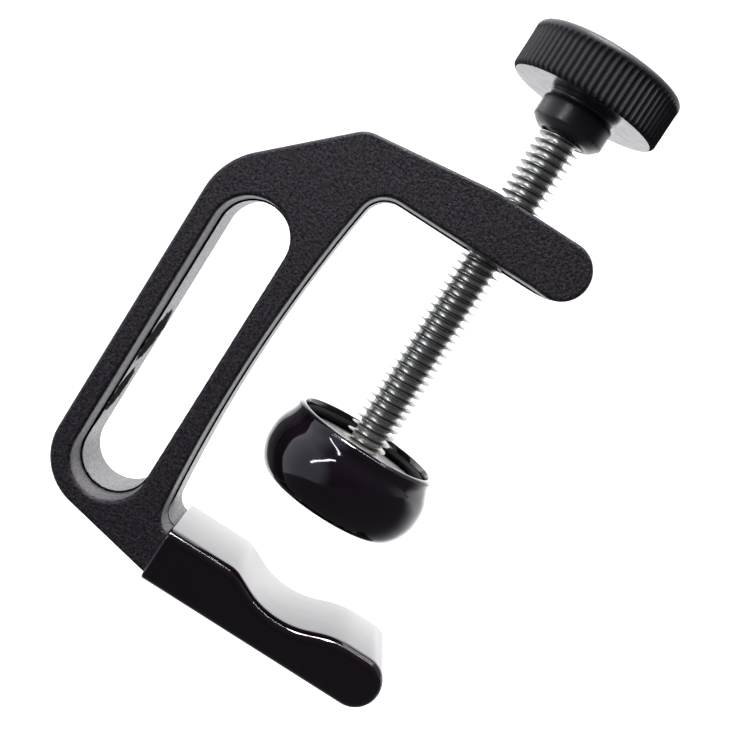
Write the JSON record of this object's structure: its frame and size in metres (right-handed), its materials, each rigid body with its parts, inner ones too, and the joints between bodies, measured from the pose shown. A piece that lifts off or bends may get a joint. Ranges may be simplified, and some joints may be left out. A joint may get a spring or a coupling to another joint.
{
  "type": "pipe clamp",
  "caption": "Cast C-shaped screw clamp with a slotted spine, knurled knob, threaded screw, tilting round foot in a soft cap and a soft sleeve on the fixed jaw.",
  "frame": {"origin": "centre of the flat face under the foot's cap, on the screw's axis, with the clamp as drawn", "axes": "+Z along the screw from the fixed jaw up to the knob, +X from the spine towards the jaw tips, +Y through the frame's thickness"},
  "size_m": [0.0694, 0.03, 0.1137],
  "materials": {
    "frame_coat": "fine-textured black powder coat on cast aluminium",
    "jaw_cover_pvc": "glossy black dipped PVC",
    "screw_zinc": "bright zinc-plated rolled thread",
    "knob_plastic": "satin black moulded plastic",
    "knob_cap_plastic": "satin black moulded plastic",
    "ring_steel": "dark spring steel",
    "washer_steel": "zinc-plated washer",
    "foot_metal": "plain turned metal, light grey",
    "foot_cap_pvc": "glossy black moulded PVC cup"
  },
  "bodies": {
    "frame": {"clamp_frame": "frame_coat", "jaw_cover": "jaw_cover_pvc"},
    "screw_carrier": {"retaining_ring": "ring_steel"},
    "screw": {"clamp_screw": "screw_zinc", "knob": "knob_plastic", "knob_cap": "knob_cap_plastic"},
    "foot_gimbal": {"foot_washer": "washer_steel"},
    "foot": {"swivel_foot": "foot_metal", "foot_cap": "foot_cap_pvc"}
  },
  "joints": [
    {"name": "screw_travel", "type": "slide", "parent": "frame", "child": "screw_carrier", "axis": [0, 0, 1], "range_m": [-0.0133, 0.034]},
    {"name": "screw_turn", "type": "hinge", "parent": "screw_carrier", "child": "screw", "pos_m": [0, 0, 0.0105], "axis": [0, 0, 1], "range_deg": [-3394, 8675]},
    {"name": "foot_tilt_x", "type": "hinge", "parent": "screw_carrier", "child": "foot_gimbal", "pos_m": [0, 0, 0.0105], "axis": [1, 0, 0], "range_deg": [-5, 5]},
    {"name": "foot_tilt_y", "type": "hinge", "parent": "foot_gimbal", "child": "foot", "pos_m": [0, 0, 0.0105], "axis": [0, 1, 0], "range_deg": [-5, 5]}
  ],
  "couplings": [
    {"joint": "screw_turn", "follows": "screw_travel", "rad_per_m": 4452.6}
  ]
}
